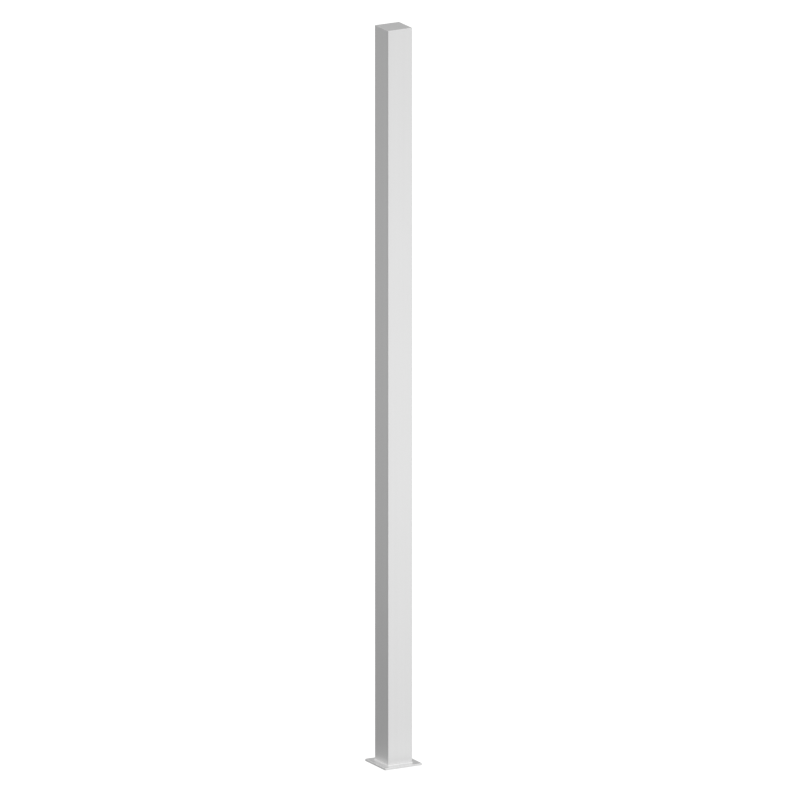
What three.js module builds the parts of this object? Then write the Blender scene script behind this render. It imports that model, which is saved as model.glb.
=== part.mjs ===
// A square aluminium post: an extruded tube welded to a flat base plate and closed by a flat push-in cap.
// Millimetres, +Z up. The origin is the centre of the base plate's underside.
import * as THREE from 'three';

// Driving dimensions
const POST_HEIGHT = 1800; // floor to the top of the cap
const TUBE_SIDE = 65;
const TUBE_WALL = 2.5;
const TUBE_CORNER_RADIUS = 1;
const BORE_CORNER_RADIUS = 1; // inside the tube
const PLATE_MARGIN = 17.5; // how far the plate stands out beyond each face of the tube
const PLATE_THICKNESS = 5;
const PLATE_CORNER_RADIUS = 2;
const PLATE_EDGE_BREAK = 0.5; // the bevel filed on its upper and lower edges
const WELD_LEG = 2.5; // up the tube and out over the plate
const WELD_CROWN = 0.3; // how far the bead's face bulges
const SAW_EDGE_BREAK = 0.1; // deburring at the tube's upper end and under the cap's lip
const CAP_LIP_THICKNESS = 3;
const CAP_EDGE_ROUND = 0.5; // round the lip's upper edge
const CAP_SKIRT_DEPTH = 22;
const CAP_SKIRT_WALL = 2;
const CAP_HOLLOW_CORNER_RADIUS = 0.5; // inside the skirt
const CAP_SKIRT_CLEARANCE = 0.3; // between the skirt and the bore, on each side
const CAP_CORNER_RELIEF = 1.5; // how much rounder the skirt's corners are than the bore's
const CAP_LEAD_IN = 0.8; // bevel that starts the skirt in the bore

// Worked out from them
const TUBE_HALF = TUBE_SIDE / 2;
const BORE_HALF = TUBE_HALF - TUBE_WALL;
const PLATE_HALF = TUBE_HALF + PLATE_MARGIN;
const WELD_TOP = PLATE_THICKNESS + WELD_LEG;
const TUBE_TOP = POST_HEIGHT - CAP_LIP_THICKNESS;
const SKIRT_HALF = BORE_HALF - CAP_SKIRT_CLEARANCE;
const SKIRT_CORNER_RADIUS = BORE_CORNER_RADIUS + CAP_CORNER_RELIEF;

// How finely the curves are cut
const CORNER_STEPS = 8; // round each upright corner
const ROUND_STEPS = 4; // round the cap's upper edge
const WELD_STEPS = 4; // across the bead's face

const QUARTER_TURN = Math.PI / 2;

// One level of a square body: half its width across the flats, the radius of its corners and its height.
const level = (half, radius, z) => ({ half, radius, z });
const onAxis = (z) => level(0, 0, z);

// The points of one level, anticlockwise seen from above.
function outline({ half, radius, z }) {
  const arcCentre = half - radius;
  const corners = [[1, 1], [-1, 1], [-1, -1], [1, -1]];
  return corners.flatMap(([x, y], turn) => {
    const start = turn * QUARTER_TURN;
    const arc = new THREE.ArcCurve(x * arcCentre, y * arcCentre, radius, start, start + QUARTER_TURN);
    return arc.getPoints(CORNER_STEPS).map((point) => new THREE.Vector3(point.x, point.y, z));
  });
}

// A closed body with a rounded square section at every level, as a lathe makes round ones. The levels run out
// from the axis underneath, up the outside and back to the axis, or round a wall to where they began.
function squareBody(levels) {
  const hasWall = levels[0].half > 0;
  const rings = levels.map(outline);
  if (hasWall) rings.push(rings[0]);
  const points = [];
  const addFace = (...corners) => {
    const [a, b, c] = corners;
    if (!a.equals(b) && !b.equals(c) && !c.equals(a)) points.push(...corners);
  };
  for (let i = 1; i < rings.length; i++) {
    const [from, to] = [rings[i - 1], rings[i]];
    from.forEach((point, j) => {
      const next = (j + 1) % from.length;
      addFace(point, from[next], to[next]);
      addFace(point, to[next], to[j]);
    });
  }
  const geometry = new THREE.BufferGeometry().setFromPoints(points);
  geometry.computeVertexNormals();
  return geometry;
}

// The extruded tube, open at both ends, standing on the plate. The level at the weld's top parts the strip that
// the weld covers from the clear flat faces above it, where rails and brackets fit.
function tubeGeometry() {
  const edge = Math.min(SAW_EDGE_BREAK, TUBE_CORNER_RADIUS / 2);
  return squareBody([
    level(TUBE_HALF, TUBE_CORNER_RADIUS, PLATE_THICKNESS),
    level(TUBE_HALF, TUBE_CORNER_RADIUS, WELD_TOP),
    level(TUBE_HALF, TUBE_CORNER_RADIUS, TUBE_TOP - edge),
    level(TUBE_HALF - edge, TUBE_CORNER_RADIUS - edge, TUBE_TOP),
    level(BORE_HALF, BORE_CORNER_RADIUS, TUBE_TOP),
    level(BORE_HALF, BORE_CORNER_RADIUS, PLATE_THICKNESS),
  ]);
}

// The face of the weld, from the plate's top up to the tube
function weldLevels() {
  const levels = [];
  for (let step = 0; step <= WELD_STEPS; step++) {
    const share = step / WELD_STEPS;
    const bulge = WELD_CROWN * Math.SQRT1_2 * Math.sin(share * Math.PI);
    const out = WELD_LEG * (1 - share) + bulge;
    levels.push(level(TUBE_HALF + out, TUBE_CORNER_RADIUS + out, PLATE_THICKNESS + WELD_LEG * share + bulge));
  }
  return levels;
}

// The base plate, with the weld that runs round the foot of the tube
function plateGeometry() {
  const edge = Math.min(PLATE_EDGE_BREAK, PLATE_CORNER_RADIUS / 2, PLATE_THICKNESS / 4);
  return squareBody([
    onAxis(0),
    level(PLATE_HALF - edge, PLATE_CORNER_RADIUS - edge, 0),
    level(PLATE_HALF, PLATE_CORNER_RADIUS, edge),
    level(PLATE_HALF, PLATE_CORNER_RADIUS, PLATE_THICKNESS - edge),
    level(PLATE_HALF - edge, PLATE_CORNER_RADIUS - edge, PLATE_THICKNESS),
    ...weldLevels(),
    level(TUBE_HALF, TUBE_CORNER_RADIUS, PLATE_THICKNESS),
    onAxis(PLATE_THICKNESS),
  ]);
}

// The cap's rounded upper edge
function capRoundLevels() {
  const round = Math.min(CAP_EDGE_ROUND, TUBE_CORNER_RADIUS, CAP_LIP_THICKNESS / 2);
  const levels = [];
  for (let step = 0; step <= ROUND_STEPS; step++) {
    const angle = (step / ROUND_STEPS) * QUARTER_TURN;
    const inset = round * (1 - Math.cos(angle));
    const z = POST_HEIGHT - round * (1 - Math.sin(angle));
    levels.push(level(TUBE_HALF - inset, TUBE_CORNER_RADIUS - inset, z));
  }
  return levels;
}

// The cap: a lip as wide as the tube, and a hollow skirt that slides into the bore
function capGeometry() {
  const edge = Math.min(SAW_EDGE_BREAK, TUBE_CORNER_RADIUS / 2);
  const skirtFoot = TUBE_TOP - CAP_SKIRT_DEPTH;
  const hollowHalf = SKIRT_HALF - CAP_SKIRT_WALL;
  const lead = Math.min(CAP_LEAD_IN, CAP_SKIRT_WALL / 2);
  return squareBody([
    onAxis(TUBE_TOP),
    level(hollowHalf, CAP_HOLLOW_CORNER_RADIUS, TUBE_TOP),
    level(hollowHalf, CAP_HOLLOW_CORNER_RADIUS, skirtFoot),
    level(SKIRT_HALF - lead, SKIRT_CORNER_RADIUS - lead, skirtFoot),
    level(SKIRT_HALF, SKIRT_CORNER_RADIUS, skirtFoot + lead),
    level(SKIRT_HALF, SKIRT_CORNER_RADIUS, TUBE_TOP),
    level(TUBE_HALF - edge, TUBE_CORNER_RADIUS - edge, TUBE_TOP),
    level(TUBE_HALF, TUBE_CORNER_RADIUS, TUBE_TOP + edge),
    ...capRoundLevels(),
    onAxis(POST_HEIGHT),
  ]);
}

const extruded = new THREE.MeshStandardMaterial({ color: 0xd2d2d3, roughness: 0.42, metalness: 1 });
const rolled = new THREE.MeshStandardMaterial({ color: 0xcccdce, roughness: 0.5, metalness: 1 });
const cast = new THREE.MeshStandardMaterial({ color: 0xc8c9ca, roughness: 0.46, metalness: 1 });

function piece(name, geometry, material) {
  const mesh = new THREE.Mesh(geometry, material);
  mesh.name = name;
  return mesh;
}

const post = new THREE.Group();
post.name = 'aluminium_post';
post.add(piece('base_plate', plateGeometry(), rolled));
post.add(piece('post_tube', tubeGeometry(), extruded));
post.add(piece('top_cap', capGeometry(), cast));

export default post;
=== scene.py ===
import math
from collections import namedtuple

import bmesh
import bpy
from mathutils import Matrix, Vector


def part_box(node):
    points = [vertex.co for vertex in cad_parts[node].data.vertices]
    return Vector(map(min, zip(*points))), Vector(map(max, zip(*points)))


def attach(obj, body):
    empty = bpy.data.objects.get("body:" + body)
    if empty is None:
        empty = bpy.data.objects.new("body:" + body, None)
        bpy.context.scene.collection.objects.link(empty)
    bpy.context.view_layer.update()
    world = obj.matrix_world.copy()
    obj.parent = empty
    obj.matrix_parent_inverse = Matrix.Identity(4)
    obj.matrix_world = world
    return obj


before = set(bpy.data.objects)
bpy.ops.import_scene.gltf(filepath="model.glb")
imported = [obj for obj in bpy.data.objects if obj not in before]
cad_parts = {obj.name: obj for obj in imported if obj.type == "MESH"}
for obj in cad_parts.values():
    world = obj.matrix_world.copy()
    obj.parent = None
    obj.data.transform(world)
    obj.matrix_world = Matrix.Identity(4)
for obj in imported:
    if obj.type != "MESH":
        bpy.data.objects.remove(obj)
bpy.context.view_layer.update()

# Metres throughout; fine sizes are easier to read in millimetres.
MM = 0.001
MERGE_DISTANCE = 0.001 * MM  # points closer than this are one

# Sizes read from the frame
TUBE_LOW, TUBE_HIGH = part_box("post_tube")
PLATE_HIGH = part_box("base_plate")[1]
CAP_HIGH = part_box("top_cap")[1]
TUBE_HALF = TUBE_HIGH.x
PLATE_HALF = PLATE_HIGH.x
PLATE_TOP = TUBE_LOW.z
POST_HEIGHT = CAP_HIGH.z

# The tube's corners start where its flat face across +X ends.
TUBE_POINTS = [vertex.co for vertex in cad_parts["post_tube"].data.vertices]
FLAT_FACE_END = max(point.y for point in TUBE_POINTS if point.x > TUBE_HALF - MERGE_DISTANCE)
TUBE_CORNER_RADIUS = TUBE_HALF - FLAT_FACE_END

# The weld round the foot of the tube
WELD_LEG = 2.8 * MM  # up the tube and out over the plate
WELD_CROWN = 0.5 * MM  # how far the bead's face bulges
RIPPLE_PITCH = 1.5 * MM
RIPPLE_HEIGHT = 0.14 * MM
RIPPLE_TRAIL = 0.9  # how far a ripple's ends trail behind its middle, in pitches
WELD_WANDER = 0.4 * MM  # how unevenly the bead was laid
WANDER_LENGTH = 9 * MM  # and over what length that changes
SAMPLES_PER_RIPPLE = 9
WELD_ROWS = 13  # across the bead, with one at each end in the corner under it
BETWEEN_ROWS = (0.4, 0.6)  # a step that falls between two rows, in rows
CORNER_SAMPLES = 12  # round each corner of the tube
WELD_MERGE = 0.002 * MM  # closes the bead where its ends and its edges meet

# Small curves are shaded smooth and real corners stay crisp.
CRISP_ANGLE = math.radians(32)
FLAT_FACE_WEIGHT = 100  # how strongly a large face keeps its own shading up to its edges

# The metals: their darkest and lightest grey, their roughness and how deep their relief is
Metal = namedtuple("Metal", "dark light roughness depth")
TUBE_METAL = Metal(dark=0.79, light=0.86, roughness=0.41, depth=0.012 * MM)
PLATE_METAL = Metal(dark=0.85, light=0.93, roughness=0.36, depth=0.015 * MM)
CAP_METAL = Metal(dark=0.76, light=0.84, roughness=0.43, depth=0.012 * MM)
WELD_METAL = Metal(dark=0.80, light=0.92, roughness=0.36, depth=0.02 * MM)

# Grain of the metals: the size of its features along X, Y and Z
DIE_LINES = (0.5 * MM, 0.5 * MM, 900 * MM)
BROAD_DIE_LINES = (5 * MM, 5 * MM, 1400 * MM)
TUBE_CLOUDS = (70 * MM, 70 * MM, 160 * MM)
ETCHED_GRAIN = (0.25 * MM, 0.25 * MM, 0.25 * MM)
ROLLING_LINES = (60 * MM, 0.35 * MM, 10 * MM)
PLATE_CLOUDS = (28 * MM, 28 * MM, 28 * MM)
SAW_MARKS = (0.3 * MM, 0.3 * MM, 30 * MM)
RAGGED_EDGE = (6 * MM, 6 * MM, 6 * MM)
BRUSHING = (40 * MM, 0.28 * MM, 5 * MM)
CAP_CLOUDS = (22 * MM, 22 * MM, 22 * MM)
WELD_FROST = (0.4 * MM, 0.4 * MM, 0.4 * MM)
WELD_PATCHES = (7 * MM, 7 * MM, 7 * MM)

# Where the finishes change, measured along the surface
TUBE_CORNER_HIGHLIGHT_BAND = (1.6 * MM, 0.6 * MM)  # in from the tube's sides, where the corners get a painted highlight
CAP_EDGE_HIGHLIGHT_BAND = (1.2 * MM, 0.3 * MM)  # in from the cap's sides, where the edges get a painted highlight
PLATE_RIM_BAND = (0.35 * MM, 0.1 * MM)  # in from the plate's sides
CLEANED_UP_TUBE = (5 * MM, 13 * MM)  # above the plate, where the weld's heat frosted the metal
CLEANED_OVER_PLATE = (5 * MM, 9 * MM)  # out from the tube
CLEANED_RAGGEDNESS = 5 * MM

# The photograph's view
CAMERA_AZIMUTH = math.radians(-28.7)
CAMERA_ELEVATION = math.radians(14.95)
CAMERA_DISTANCE = 89.2
CAMERA_LENS_MM = 1700
AIM_RIGHT_OF_AXIS = 0.0153
AIM_BELOW_MIDDLE = 0.0106
CLIP_DISTANCES = 10  # how many camera distances the view reaches

# The soft studio light. Glows fade round the world: azimuth and elevation in degrees, tightness and strength.
WORLD_BASE = 0.215
WORLD_GLOWS = {
    "low_right": (29, -15, 6, 0.33),
    "high_right": (29, 15, 10, 0.38),
    "steep_right": (61, 58, 12, 0.2),
    "high_behind_left": (-151, 30, 12, 0.35),
    "front": (-29, 30, 4, 0.2),
    "overhead": (0, 90, 4, 0.19),
    "sky": (0, 90, 2, 0.43),
}
# Softboxes: azimuth and elevation in degrees, distance and width in metres, and watts
SOFTBOXES = {
    "right_key": (29, -13, 3.0, 1.8, 2.9),
    "left_fill": (-151, -6.9, 3.2, 2.0, 1.67),
}

# The floor, and the pool of light round the foot, which is all of it that the metal mirrors. The pool is
# dimmer on the left, away from the key, and it fades between two distances out from the plate.
FLOOR_REACH = 200.0
FLOOR_GLOW = 0.93  # what keeps it near white
FLOOR_GREY = 0.25  # what takes the light and the shadow
POOL_LEFT = 0.41
POOL_RIGHT = 0.69
POOL_DIVIDE = 15 * MM  # half the width of the step between them
POOL_FADE = (20 * MM, 100 * MM)


class Socket:
    """An output of a node. Arithmetic on it adds Math nodes to the same tree."""

    def __init__(self, tree, source):
        self.tree = tree
        self.source = source

    def maths(self, operation, *operands):
        return self.tree.add("ShaderNodeMath", {"operation": operation}, dict(enumerate(operands)))

    def other(self, name):
        return Socket(self.tree, self.source.node.outputs[name])

    def __add__(self, value):
        return self.maths("ADD", self, value)

    def __radd__(self, value):
        return self.maths("ADD", value, self)

    def __sub__(self, value):
        return self.maths("SUBTRACT", self, value)

    def __rsub__(self, value):
        return self.maths("SUBTRACT", value, self)

    def __mul__(self, value):
        return self.maths("MULTIPLY", self, value)

    def __rmul__(self, value):
        return self.maths("MULTIPLY", value, self)

    def __truediv__(self, value):
        return self.maths("DIVIDE", self, value)

    def __rtruediv__(self, value):
        return self.maths("DIVIDE", value, self)

    def __pow__(self, value):
        return self.maths("POWER", self, value)

    def __abs__(self):
        return self.maths("ABSOLUTE", self)

    def at_least(self, value):
        return self.maths("MAXIMUM", self, value)

    def at_most(self, value):
        return self.maths("MINIMUM", self, value)

    def sine(self):
        return self.maths("SINE", self)

    def step_up(self, start, end):
        """0 below start, 1 above end, with a soft step between them."""
        ends = {"Value": self, "From Min": start, "From Max": end}
        return self.tree.add("ShaderNodeMapRange", {"interpolation_type": "SMOOTHSTEP"}, ends)

    def swing(self, amount):
        """Noise, which lies about 0.5, turned into changes about 0 of up to half the amount each way."""
        return (self - 0.5) * amount


class Tree:
    """A node tree, emptied first, that calls of add() fill."""

    def __init__(self, graph):
        self.graph = graph
        graph.nodes.clear()

    def add(self, kind, settings=None, inputs=None, output=0):
        """Adds a node with settings, and values or links for its inputs, and returns one output of it."""
        node = self.graph.nodes.new(kind)
        for name, value in (settings or {}).items():
            setattr(node, name, value)
        for key, value in (inputs or {}).items():
            if isinstance(value, Socket):
                self.graph.links.new(value.source, node.inputs[key])
            else:
                node.inputs[key].default_value = value
        return Socket(self, node.outputs[output]) if node.outputs else None

    def vector(self, operation, *operands, output=0):
        return self.add("ShaderNodeVectorMath", {"operation": operation}, dict(enumerate(operands)), output)

    def scaled(self, vector, scale):
        return self.add("ShaderNodeVectorMath", {"operation": "SCALE"}, {0: vector, "Scale": scale})

    def join(self, x, y, z):
        return self.add("ShaderNodeCombineXYZ", None, {"X": x, "Y": y, "Z": z})

    def split(self, vector):
        parts = self.add("ShaderNodeSeparateXYZ", None, {"Vector": vector})
        return parts, parts.other("Y"), parts.other("Z")

    def noise(self, vector, detail=2.0):
        """Cloudy values about 0.5, with features about one unit of the vector in size."""
        return self.add("ShaderNodeTexNoise", None, {"Vector": vector, "Scale": 1.0, "Detail": detail})

    def mix_colours(self, share, first, second):
        """The colour first where share is 0 and second where it is 1."""
        settings = {"data_type": "RGBA", "blend_type": "MIX"}
        return self.add("ShaderNodeMix", settings, {0: share, 6: first, 7: second}, output=2)


def grey(level):
    return (level, level, level, 1.0)


class Finish(Tree):
    """A metal's material. Its patterns read object coordinates, which are the post's own frame in metres."""

    def __init__(self, name, metal):
        self.metal = metal
        self.material = bpy.data.materials.new(name)
        self.material.use_nodes = True
        super().__init__(self.material.node_tree)
        self.x, self.y, self.z = self.split(self.add("ShaderNodeTexCoord", output="Object"))

    def grain(self, sizes, detail=2.0, shift=0.0):
        """Noise whose features have these sizes along the axes. A shift gives another pattern of the kind."""
        along_x, along_y, along_z = sizes
        stretched = self.join(self.x / along_x + shift, self.y / along_y, self.z / along_z)
        return self.noise(stretched, detail)

    def out_from_axis(self):
        """How far out a point of a square body lies, whichever side it is on."""
        return abs(self.x).at_least(abs(self.y))

    def near_side(self, half, band):
        """1 close to the sides of a square body and 0 further in."""
        start, end = band
        return self.out_from_axis().step_up(half - start, half - end)

    def near_corner(self, half, band):
        """1 close to the upright corners of a square body and 0 elsewhere."""
        start, end = band
        return abs(self.x).at_most(abs(self.y)).step_up(half - start, half - end)

    def finished(self, shade, roughness_change, relief):
        """Ends the material in one metal shader. Shade runs from 0, the darkest grey, to 1, the lightest."""
        colour = self.mix_colours(shade, grey(self.metal.dark), grey(self.metal.light))
        bump = {"Strength": 1.0, "Distance": self.metal.depth, "Height": relief}
        inputs = {
            "Base Color": colour,
            "Roughness": roughness_change + self.metal.roughness,
            "Metallic": 1.0,
            "Normal": self.add("ShaderNodeBump", None, bump),
        }
        shader = self.add("ShaderNodeBsdfPrincipled", None, inputs)
        self.add("ShaderNodeOutputMaterial", None, {"Surface": shader})
        return self.material


# In each finish the numbers say how much of each pattern shows, in the shade and in the roughness.


def tube_finish():
    """Extruded and satin anodised: die lines up the length, a painted highlight that lightens the corners,
    and the foot a little brighter.
    """
    finish = Finish("satin_extrusion", TUBE_METAL)
    die_lines = finish.grain(DIE_LINES, detail=3.0)
    broad_lines = finish.grain(BROAD_DIE_LINES, shift=7.0)
    clouds = finish.grain(TUBE_CLOUDS, shift=3.0)
    etched = finish.grain(ETCHED_GRAIN)
    # Painted highlight: the corners' colour is made lighter where a glint would fall; they are also made a
    # little smoother.
    corner_highlight = finish.near_corner(TUBE_HALF, TUBE_CORNER_HIGHLIGHT_BAND)
    start, end = CLEANED_UP_TUBE
    cleaned = 1 - finish.z.step_up(PLATE_TOP + start, PLATE_TOP + end)
    streaks = die_lines.swing(0.25) + broad_lines.swing(0.4) + clouds.swing(0.4)
    shade = 0.35 + streaks + 0.2 * corner_highlight + 0.25 * cleaned
    roughness = die_lines.swing(0.07) + clouds.swing(0.05) - 0.06 * corner_highlight + 0.05 * cleaned
    relief = 0.8 * die_lines + 0.25 * etched
    return finish.finished(shade, roughness, relief)


def plate_finish():
    """Rolled flat, sawn to size with filed edges, and frosted round the weld."""
    finish = Finish("rolled_plate", PLATE_METAL)
    rolling = finish.grain(ROLLING_LINES, detail=3.0)
    clouds = finish.grain(PLATE_CLOUDS, shift=5.0)
    saw_marks = finish.grain(SAW_MARKS, shift=2.0)
    ragged = finish.grain(RAGGED_EDGE, shift=9.0)
    rim = finish.near_side(PLATE_HALF, PLATE_RIM_BAND)
    out_from_tube = finish.out_from_axis() - TUBE_HALF
    cleaned = 1 - (out_from_tube + ragged.swing(CLEANED_RAGGEDNESS)).step_up(*CLEANED_OVER_PLATE)
    pattern = rolling * (1 - rim) + saw_marks * rim
    shade = 0.4 + pattern.swing(0.3) + clouds.swing(0.5) + 0.3 * cleaned
    roughness = pattern.swing(0.08) + clouds.swing(0.05) + 0.03 * cleaned + 0.14 * rim
    return finish.finished(shade, roughness, relief=pattern)


def cap_finish():
    """Die cast, then brushed one way across the top; the edges get a painted highlight that lightens them."""
    finish = Finish("brushed_cap", CAP_METAL)
    brushing = finish.grain(BRUSHING, detail=3.0)
    clouds = finish.grain(CAP_CLOUDS, shift=1.0)
    # Painted highlight: the colour is made lighter along the cap's edges; they are also made a little
    # smoother.
    edge_highlight = finish.near_side(TUBE_HALF, CAP_EDGE_HIGHLIGHT_BAND)
    shade = 0.4 + brushing.swing(0.3) + clouds.swing(0.4) + 0.3 * edge_highlight
    roughness = brushing.swing(0.08) + clouds.swing(0.05) - 0.05 * edge_highlight
    return finish.finished(shade, roughness, relief=brushing)


def weld_finish():
    """As laid: bright, with fine frost between the ripples."""
    finish = Finish("weld_metal", WELD_METAL)
    frost = finish.grain(WELD_FROST, detail=3.0)
    patches = finish.grain(WELD_PATCHES, shift=4.0)
    shade = 0.5 + frost.swing(0.5) + patches.swing(0.6)
    roughness = frost.swing(0.2) + patches.swing(0.1)
    return finish.finished(shade, roughness, relief=frost)


def add_interface(tree, inputs, has_geometry_in=False):
    """Gives a geometry tree its named inputs and its geometry output, and returns the inputs as sockets."""
    interface = tree.graph.interface
    if has_geometry_in:
        interface.new_socket("Geometry", in_out="INPUT", socket_type="NodeSocketGeometry")
    for name, kind in inputs.items():
        interface.new_socket(name, in_out="INPUT", socket_type=kind)
    interface.new_socket("Geometry", in_out="OUTPUT", socket_type="NodeSocketGeometry")
    first = tree.add("NodeGroupInput")
    return {socket.name: Socket(tree, socket) for socket in first.source.node.outputs if socket.name}


def apply_tree(piece, tree, values):
    """Adds the tree to the piece as a modifier, with its inputs set by the sockets' identifiers."""
    modifier = piece.modifiers.new(tree.graph.name, "NODES")
    modifier.node_group = tree.graph
    for socket in tree.graph.interface.items_tree:
        if socket.in_out == "INPUT" and socket.name in values:
            modifier[socket.identifier] = values[socket.name]


def crisp_edges_tree():
    """Shades every face smooth, and keeps the edges crisp where the surface turns more than Angle."""
    tree = Tree(bpy.data.node_groups.new("crisp_edges", "GeometryNodeTree"))
    given = add_interface(tree, {"Angle": "NodeSocketFloat"}, has_geometry_in=True)
    turn = tree.add("GeometryNodeInputMeshEdgeAngle")
    gentle = tree.add("FunctionNodeCompare", {"operation": "LESS_THAN"}, {0: turn, 1: given["Angle"]})
    inputs = {0: given["Geometry"], "Shade Smooth": True}
    faces = tree.add("GeometryNodeSetShadeSmooth", {"domain": "FACE"}, inputs)
    edges = tree.add("GeometryNodeSetShadeSmooth", {"domain": "EDGE"}, {0: faces, "Shade Smooth": gentle})
    tree.add("NodeGroupOutput", None, {0: edges})
    return tree


def weld_tree():
    """The bead: a strip of ripples that follows the tube's outline and closes under itself."""
    tree = Tree(bpy.data.node_groups.new("weld_bead", "GeometryNodeTree"))
    sizes = ["Tube side", "Corner radius", "Height", "Leg", "Crown"]
    sizes += ["Ripple height", "Ripple trail", "Wander", "Wander length"]
    kinds = {name: "NodeSocketFloat" for name in sizes}
    kinds |= {name: "NodeSocketInt" for name in ("Ripples", "Samples", "Rows", "Corner samples")}
    kinds |= {"Material": "NodeSocketMaterial"}
    given = add_interface(tree, kinds)

    side = given["Tube side"]
    square = tree.add("GeometryNodeCurvePrimitiveQuadrilateral", None, {"Width": side, "Height": side})
    fillet = {"Curve": square, "Radius": given["Corner radius"], "Count": given["Corner samples"]}
    path = tree.add("GeometryNodeFilletCurve", {"mode": "POLY"}, fillet)

    # A flat strip to bend: along it runs from 0 to 1, and across it counts the rows from 0.
    last_row = given["Rows"] - 1
    strip_size = {"Size X": 1.0, "Size Y": 1.0, "Vertices X": given["Samples"], "Vertices Y": given["Rows"]}
    strip = tree.add("GeometryNodeMeshGrid", None, strip_size)
    along, across, _ = tree.split(tree.add("GeometryNodeInputPosition"))
    along = along + 0.5
    across = (across + 0.5) * last_row

    # The first and last rows lie in the corner between tube and plate; the others cross the bead's face.
    share = ((across - 1) / (last_row - 2)).at_least(0.0).at_most(1.0)
    on_face = across.step_up(*BETWEEN_ROWS) * (last_row - across).step_up(*BETWEEN_ROWS)

    sample = {"Curves": path, "Factor": along}
    foot = tree.add("GeometryNodeSampleCurve", {"mode": "FACTOR"}, sample, output="Position")
    outward = tree.vector("NORMALIZE", tree.vector("CROSS_PRODUCT", foot.other("Tangent"), (0.0, 0.0, 1.0)))

    middle = 2 * share - 1
    phase = along * given["Ripples"] - middle * middle * given["Ripple trail"]
    ripple = abs((phase * math.pi).sine()) * given["Ripple height"]
    # The face slopes at 45 degrees, so the bulge goes out and up alike.
    bulge = (given["Crown"] + ripple) * (share * math.pi).sine() * math.sin(math.radians(45))
    unevenness = tree.noise(tree.scaled(foot, 1 / given["Wander length"])).swing(given["Wander"])
    leg = given["Leg"] + unevenness
    out = (leg * (1 - share) + bulge) * on_face
    rise = (leg * share + bulge) * on_face + given["Height"]

    moved = tree.vector("ADD", tree.scaled(outward, out), tree.join(0.0, 0.0, rise))
    place = {"Geometry": strip, "Position": tree.vector("ADD", foot, moved)}
    bent = tree.add("GeometryNodeSetPosition", None, place)
    closed = tree.add("GeometryNodeMergeByDistance", None, {"Geometry": bent, "Distance": WELD_MERGE})
    real = tree.add("GeometryNodeRealizeInstances", None, {"Geometry": closed})
    coloured = tree.add("GeometryNodeSetMaterial", None, {"Geometry": real, "Material": given["Material"]})
    tree.add("NodeGroupOutput", None, {0: coloured})
    return tree


def plain_mesh(piece):
    """Replaces a piece's modifiers by the mesh that they make, with its faces outwards and shaded smooth."""
    bpy.context.view_layer.update()
    evaluated = piece.evaluated_get(bpy.context.evaluated_depsgraph_get())
    mesh = bpy.data.meshes.new_from_object(evaluated)
    piece.modifiers.clear()
    piece.data = mesh
    shape = bmesh.new()
    shape.from_mesh(mesh)
    bmesh.ops.recalc_face_normals(shape, faces=shape.faces)
    for face in shape.faces:
        face.smooth = True
    shape.to_mesh(mesh)
    shape.free()


def add_object(name, data):
    thing = bpy.data.objects.new(name, data)
    bpy.context.scene.collection.objects.link(thing)
    return thing


def lay_weld():
    """The weld bead, as one closed mesh round the foot of the tube."""
    bead = add_object("weld_bead", bpy.data.meshes.new("weld_bead"))
    run = 8 * (TUBE_HALF - TUBE_CORNER_RADIUS) + math.tau * TUBE_CORNER_RADIUS
    ripples = round(run / RIPPLE_PITCH)
    apply_tree(bead, weld_tree(), {
        "Tube side": 2 * TUBE_HALF,
        "Corner radius": TUBE_CORNER_RADIUS,
        "Height": PLATE_TOP,
        "Leg": WELD_LEG,
        "Crown": WELD_CROWN,
        "Ripple height": RIPPLE_HEIGHT,
        "Ripple trail": RIPPLE_TRAIL,
        "Wander": WELD_WANDER,
        "Wander length": WANDER_LENGTH,
        "Ripples": ripples,
        "Samples": ripples * SAMPLES_PER_RIPPLE + 1,
        "Rows": WELD_ROWS,
        "Corner samples": CORNER_SAMPLES,
        "Material": weld_finish(),
    })
    plain_mesh(bead)
    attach(bead, "root")


def dress_nodes():
    """Gives each CAD node its finish, and shades its small curves smooth."""
    finishes = {"post_tube": tube_finish(), "base_plate": plate_finish(), "top_cap": cap_finish()}
    tree = crisp_edges_tree()
    for name, finish in finishes.items():
        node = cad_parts[name]
        node.data.materials.clear()
        node.data.materials.append(finish)
        merge = node.modifiers.new("merge", "WELD")
        merge.merge_threshold = MERGE_DISTANCE
        apply_tree(node, tree, {"Angle": CRISP_ANGLE})
        flats = node.modifiers.new("true_flats", "WEIGHTED_NORMAL")
        flats.keep_sharp = True
        flats.weight = FLAT_FACE_WEIGHT


def toward(azimuth, elevation):
    """The direction of something seen at this azimuth and elevation from the post; azimuth 0 is -Y."""
    flat = math.cos(elevation)
    return Vector((math.sin(azimuth) * flat, -math.cos(azimuth) * flat, math.sin(elevation)))


def point_at(thing, place, target):
    thing.location = place
    thing.rotation_euler = (target - place).to_track_quat("-Z", "Y").to_euler()


def set_camera():
    lens = bpy.data.cameras.new("camera")
    lens.lens = CAMERA_LENS_MM
    lens.clip_end = CLIP_DISTANCES * CAMERA_DISTANCE
    camera = add_object("camera", lens)
    right = Vector((math.cos(CAMERA_AZIMUTH), math.sin(CAMERA_AZIMUTH), 0.0))
    aim = right * AIM_RIGHT_OF_AXIS + Vector((0.0, 0.0, POST_HEIGHT / 2 - AIM_BELOW_MIDDLE))
    point_at(camera, aim + toward(CAMERA_AZIMUTH, CAMERA_ELEVATION) * CAMERA_DISTANCE, aim)
    bpy.context.scene.camera = camera


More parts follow.
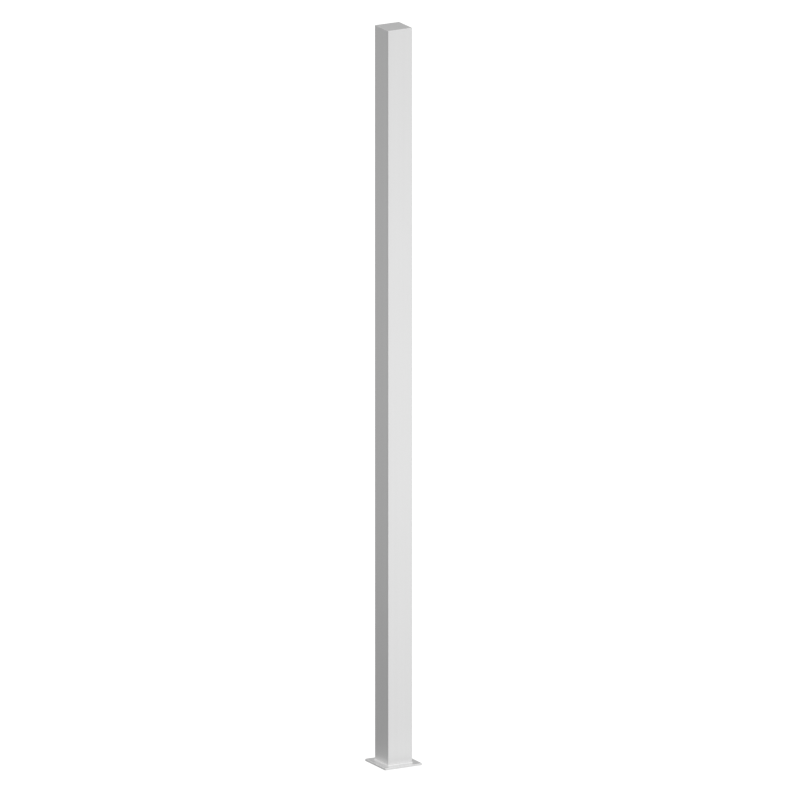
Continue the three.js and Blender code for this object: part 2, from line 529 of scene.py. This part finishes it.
def studio_world(base, glows):
    """The light that comes from all round: a dim base with soft glows. The camera itself sees plain white."""
    world = bpy.data.worlds.new("studio")
    world.use_nodes = True
    tree = Tree(world.node_tree)
    direction = tree.add("ShaderNodeTexCoord", output="Generated")
    level = base
    for azimuth, elevation, tightness, strength in glows.values():
        centre = toward(math.radians(azimuth), math.radians(elevation))
        facing = tree.vector("DOT_PRODUCT", direction, tuple(centre), output="Value")
        level = level + ((facing + 1) / 2) ** tightness * strength
    light = tree.add("ShaderNodeBackground", None, {"Color": grey(1.0), "Strength": level})
    backdrop = tree.add("ShaderNodeBackground", None, {"Color": grey(1.0), "Strength": 1.0})
    seen = tree.add("ShaderNodeLightPath", output="Is Camera Ray")
    both = tree.add("ShaderNodeMixShader", None, {0: seen, 1: light, 2: backdrop})
    tree.add("ShaderNodeOutputWorld", None, {"Surface": both})
    bpy.context.scene.world = world


def softbox(name, azimuth, elevation, distance, width, watts):
    lamp = bpy.data.lights.new(name, "AREA")
    lamp.shape = "DISK"
    lamp.size = width
    lamp.energy = watts
    light = add_object(name, lamp)
    middle = Vector((0.0, 0.0, POST_HEIGHT / 2))
    place = middle + toward(math.radians(azimuth), math.radians(elevation)) * distance
    point_at(light, place, middle)


def floor_finish():
    """The camera sees near white with the faintest shadow. The metal mirrors just the pool round the foot."""
    material = bpy.data.materials.new("white_floor")
    material.use_nodes = True
    tree = Tree(material.node_tree)
    glow = tree.add("ShaderNodeEmission", None, {"Color": grey(1.0), "Strength": FLOOR_GLOW})
    matte = tree.add("ShaderNodeBsdfDiffuse", None, {"Color": grey(FLOOR_GREY)})
    near_white = tree.add("ShaderNodeAddShader", None, {0: glow, 1: matte})

    x, y, _ = tree.split(tree.add("ShaderNodeTexCoord", output="Object"))
    on_right = (x - y).step_up(-POOL_DIVIDE, POOL_DIVIDE)
    strength = on_right * (POOL_RIGHT - POOL_LEFT) + POOL_LEFT
    bounce = tree.add("ShaderNodeEmission", None, {"Color": grey(1.0), "Strength": strength})
    clear = tree.add("ShaderNodeBsdfTransparent")
    from_plate = abs(x).at_least(abs(y)) - PLATE_HALF
    pool = tree.add("ShaderNodeMixShader", None, {0: from_plate.step_up(*POOL_FADE), 1: bounce, 2: clear})

    seen = tree.add("ShaderNodeLightPath", output="Is Camera Ray")
    both = tree.add("ShaderNodeMixShader", None, {0: seen, 1: pool, 2: near_white})
    tree.add("ShaderNodeOutputMaterial", None, {"Surface": both})
    return material


def lay_floor():
    mesh = bpy.data.meshes.new("floor")
    corners = [(x * FLOOR_REACH, y * FLOOR_REACH, 0) for x, y in ((-1, -1), (1, -1), (1, 1), (-1, 1))]
    mesh.from_pydata(corners, [], [(0, 1, 2, 3)])
    mesh.materials.append(floor_finish())
    floor = add_object("floor", mesh)
    floor.visible_diffuse = False
    floor.visible_shadow = False


dress_nodes()
lay_weld()
lay_floor()
studio_world(WORLD_BASE, WORLD_GLOWS)
for box_name, values in SOFTBOXES.items():
    softbox(box_name, *values)
set_camera()
bpy.context.scene.view_settings.view_transform = "Standard"
bpy.context.view_layer.update()
